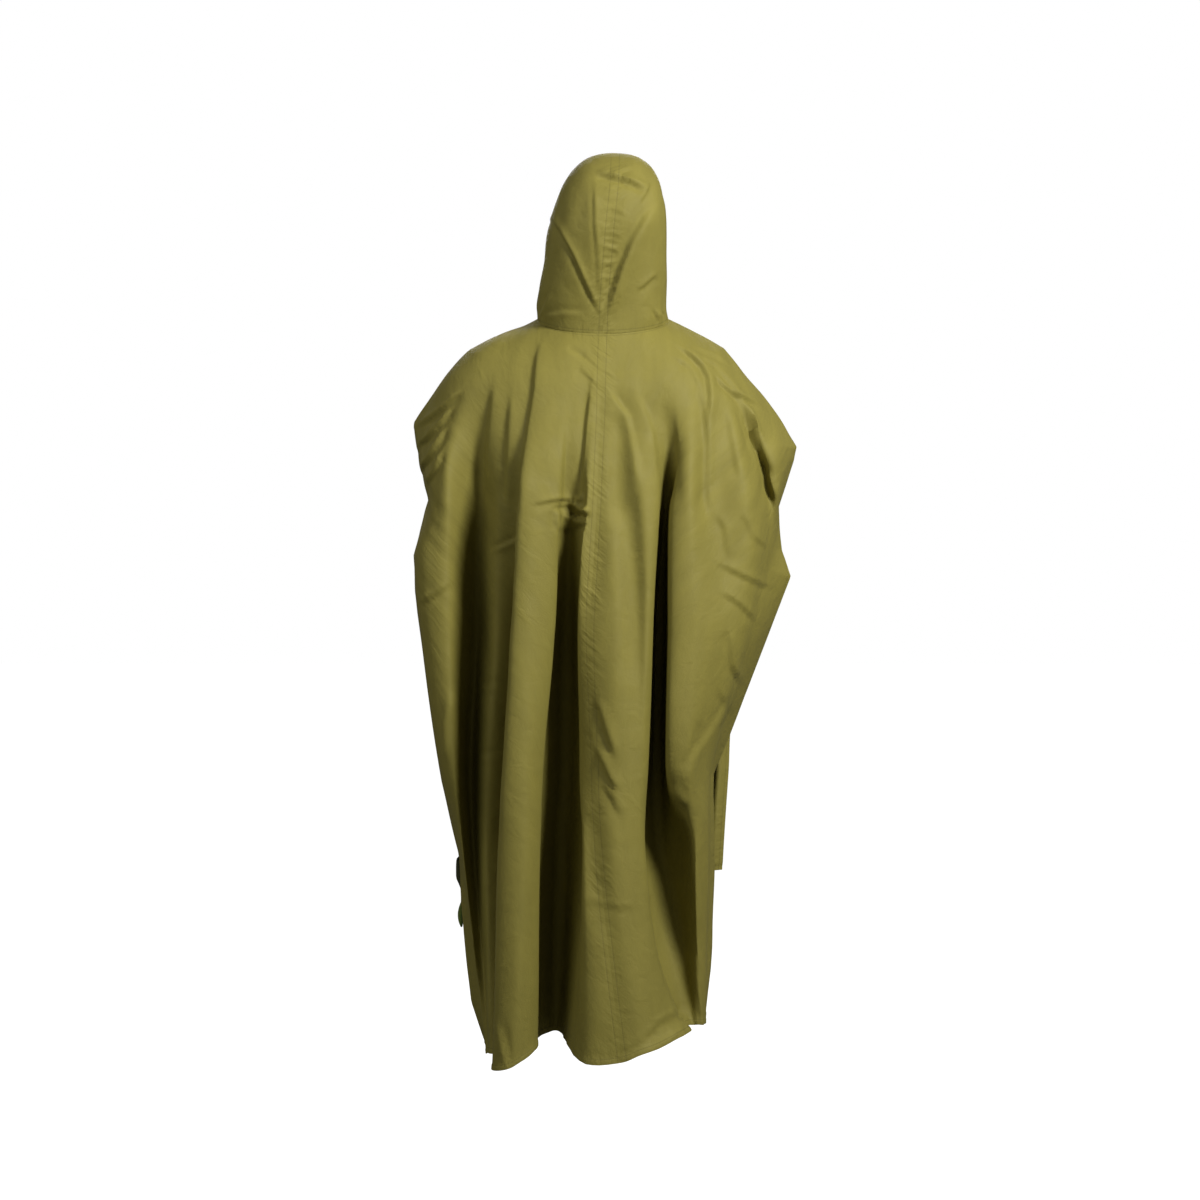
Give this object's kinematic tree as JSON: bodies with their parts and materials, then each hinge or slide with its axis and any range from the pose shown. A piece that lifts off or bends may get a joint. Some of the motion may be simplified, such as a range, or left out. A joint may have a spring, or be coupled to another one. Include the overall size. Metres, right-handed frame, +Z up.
{
  "type": "hooded poncho",
  "caption": "Light hooded poncho, hanging in deep soft folds with open sides, longer behind than in front, its hood up and a tape tie at its left side.",
  "frame": {"origin": "the middle of the neck opening, level with the nape end of the neck seam, where the wearer's neck and shoulders hold the garment", "axes": "+Z up, -Y towards the front of the garment, +X towards the wearer's left"},
  "size_m": [0.666, 0.4674, 1.5335],
  "materials": {
    "poncho_cloth": "olive green light plain weave with a soft sheen",
    "tie_tape": "dark olive narrow woven tape",
    "tie_leaf": "green cloth tab with a slight sheen"
  },
  "bodies": {
    "root": {"body_left": "poncho_cloth", "body_right": "poncho_cloth", "hood_left": "poncho_cloth", "hood_right": "poncho_cloth", "side_tie": "tie_tape", "side_tie_tail": "tie_tape", "side_tie_end": "tie_leaf"}
  },
  "joints": []
}
